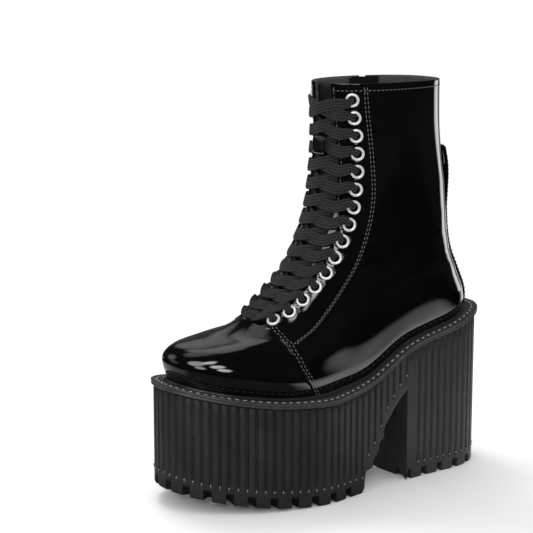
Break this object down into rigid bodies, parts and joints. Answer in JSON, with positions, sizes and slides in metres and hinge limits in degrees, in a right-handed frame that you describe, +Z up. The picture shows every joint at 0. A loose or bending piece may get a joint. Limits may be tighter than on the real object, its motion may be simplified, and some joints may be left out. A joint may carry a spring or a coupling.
{
  "type": "platform boot",
  "caption": "Lace-up platform ankle boot for the left foot, patent upper on a ribbed high platform sole with a block heel, open at the collar, with an inner side zip.",
  "frame": {"origin": "on the floor under the middle of the heel's resting face", "axes": "+Z up along the shaft, -Y towards the toe, +X to the outer (lateral) side"},
  "size_m": [0.1099, 0.2716, 0.301],
  "materials": {
    "rubber_sole": "semi-matte moulded",
    "rubber_rim": "satin moulded",
    "insole_lining": "matte",
    "patent_upper": "mirror gloss patent",
    "tongue_leather": "satin",
    "patent_loop": "gloss patent",
    "patent_strip": "mirror gloss patent",
    "lace_weave": "flat woven",
    "tape_weave": "woven",
    "zip_metal": "polished nickel",
    "guard_leather": "gloss patent",
    "eyelet_nickel": "polished nickel"
  },
  "bodies": {
    "boot": {"platform_sole": "rubber_sole", "welt": "rubber_rim", "insole": "insole_lining", "upper": "patent_upper", "tongue": "tongue_leather", "tongue_loop": "patent_loop", "back_strip": "patent_strip", "lace": "lace_weave", "zip_tape": "tape_weave", "zip_teeth": "zip_metal", "zip_guard": "guard_leather", "zip_slider": "zip_metal", "eyelet_lateral_01": "eyelet_nickel", "eyelet_lateral_02": "eyelet_nickel", "eyelet_lateral_03": "eyelet_nickel", "eyelet_lateral_04": "eyelet_nickel", "eyelet_lateral_05": "eyelet_nickel", "eyelet_lateral_06": "eyelet_nickel", "eyelet_lateral_07": "eyelet_nickel", "eyelet_lateral_08": "eyelet_nickel", "eyelet_lateral_09": "eyelet_nickel", "eyelet_lateral_10": "eyelet_nickel", "eyelet_lateral_11": "eyelet_nickel", "eyelet_lateral_12": "eyelet_nickel", "eyelet_lateral_13": "eyelet_nickel", "eyelet_lateral_14": "eyelet_nickel", "eyelet_lateral_15": "eyelet_nickel", "eyelet_medial_01": "eyelet_nickel", "eyelet_medial_02": "eyelet_nickel", "eyelet_medial_03": "eyelet_nickel", "eyelet_medial_04": "eyelet_nickel", "eyelet_medial_05": "eyelet_nickel", "eyelet_medial_06": "eyelet_nickel", "eyelet_medial_07": "eyelet_nickel", "eyelet_medial_08": "eyelet_nickel", "eyelet_medial_09": "eyelet_nickel", "eyelet_medial_10": "eyelet_nickel", "eyelet_medial_11": "eyelet_nickel", "eyelet_medial_12": "eyelet_nickel", "eyelet_medial_13": "eyelet_nickel", "eyelet_medial_14": "eyelet_nickel", "eyelet_medial_15": "eyelet_nickel"},
    "pull": {"zip_pull": "zip_metal"}
  },
  "joints": [
    {"name": "pull_swing", "type": "hinge", "parent": "boot", "child": "pull", "pos_m": [-0.0402, -0.03221, 0.28646], "axis": [0.1456, 0.9893, 0], "range_deg": [0, 150]}
  ]
}
